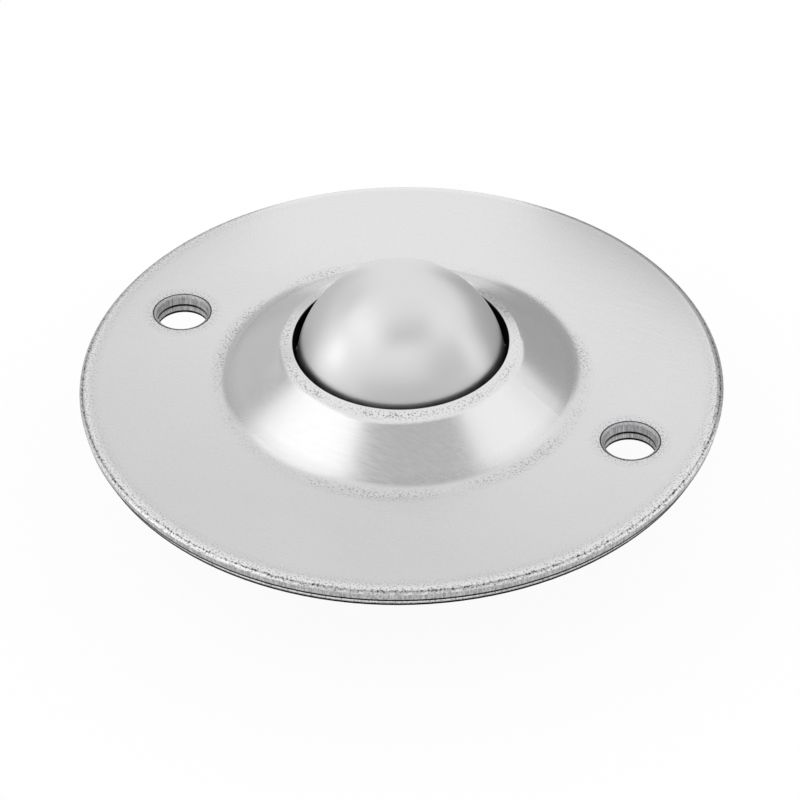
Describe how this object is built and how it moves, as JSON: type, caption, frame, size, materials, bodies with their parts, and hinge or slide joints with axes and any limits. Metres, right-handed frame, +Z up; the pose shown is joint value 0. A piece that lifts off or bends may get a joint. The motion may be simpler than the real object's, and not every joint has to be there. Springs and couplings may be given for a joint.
{
  "type": "ball castor",
  "caption": "Ball castor with a steel ball held by a pressed cone in a round two-hole flange, over a drawn cup with a bed of bearing balls.",
  "frame": {"origin": "on the castor's axis, in the mounting face, which is the underside of the flange", "axes": "+Z up along the axis, out of the load ball; +X through the two screw holes"},
  "size_m": [0.078, 0.078, 0.0312],
  "materials": {
    "cover_steel": "pressed sheet steel, bright zinc plated, satin",
    "base_steel": "pressed sheet steel, bright zinc plated, satin",
    "race_steel": "hardened sheet steel, oiled",
    "load_ball_steel": "hardened bearing steel, polished",
    "bearing_ball_steel": "hardened bearing steel, polished"
  },
  "bodies": {
    "housing": {"top_cover": "cover_steel", "base_cup": "base_steel", "race_cup": "race_steel"},
    "bearing_balls": {"bearing_balls_row_1": "bearing_ball_steel", "bearing_balls_row_2": "bearing_ball_steel", "bearing_balls_row_3": "bearing_ball_steel", "bearing_balls_row_4": "bearing_ball_steel", "bearing_balls_row_5": "bearing_ball_steel"},
    "load_ball": {"load_ball": "load_ball_steel"}
  },
  "joints": [
    {"name": "bearing_balls_turn", "type": "hinge", "parent": "housing", "child": "bearing_balls", "pos_m": [0, 0, 0.0043], "axis": [0, 0, 1], "continuous": true},
    {"name": "load_ball_roll", "type": "hinge", "parent": "bearing_balls", "child": "load_ball", "pos_m": [0, 0, 0.0043], "axis": [1, 0, 0], "continuous": true}
  ]
}
